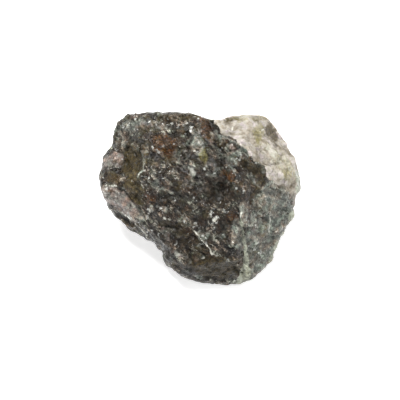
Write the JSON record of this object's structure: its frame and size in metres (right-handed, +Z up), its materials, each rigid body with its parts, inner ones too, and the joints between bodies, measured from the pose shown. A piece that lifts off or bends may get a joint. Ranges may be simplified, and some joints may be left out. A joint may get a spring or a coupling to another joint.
{
  "type": "rough iolite crystal",
  "caption": "Hand-sized broken lump of rough iolite, heart-shaped from above, dark grey-brown with a raised lap over a corner of pale quartz; rests on a flat spot.",
  "frame": {"origin": "middle of the lump's footprint box, on the surface it rests on", "axes": "+Z up from the surface, +X along the lump's longest side; the broad face with the quartz corner at its upper right leans back from -Y"},
  "size_m": [0.0498, 0.0388, 0.0278],
  "materials": {
    "iolite": "rough broken rock with a faint gloss, grey-brown speckled, one pale quartz corner"
  },
  "bodies": {
    "root": {"iolite_crystal": "iolite"}
  },
  "joints": []
}
